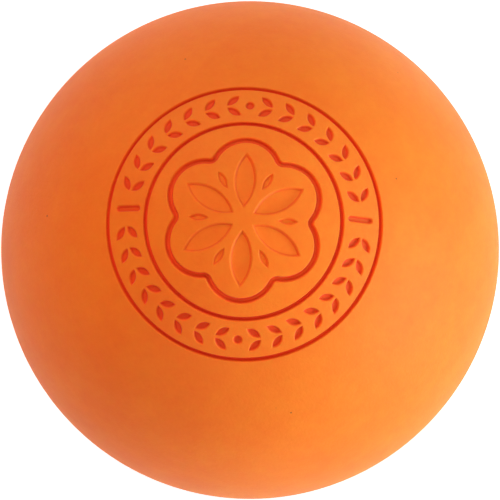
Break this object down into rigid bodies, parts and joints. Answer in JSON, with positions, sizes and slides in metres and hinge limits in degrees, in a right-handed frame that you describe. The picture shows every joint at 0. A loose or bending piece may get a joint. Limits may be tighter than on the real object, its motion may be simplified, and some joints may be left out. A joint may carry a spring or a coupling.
{
  "type": "lacrosse ball",
  "caption": "Solid rubber field ball with a moulded core, an orange cover cured on in halves, and a round pressed stamp of ring grooves, a leaf border and a rosette.",
  "frame": {"origin": "centre of the ball", "axes": "+Z from the centre out through the middle of the stamp, square to the parting plane; +X to the right of the stamp; +Y to its top"},
  "size_m": [0.0634, 0.0634, 0.0634],
  "materials": {
    "core_rubber": "matte",
    "cover_rubber": "matte"
  },
  "bodies": {
    "root": {"core": "core_rubber", "upper_cover": "cover_rubber", "lower_cover": "cover_rubber"}
  },
  "joints": []
}
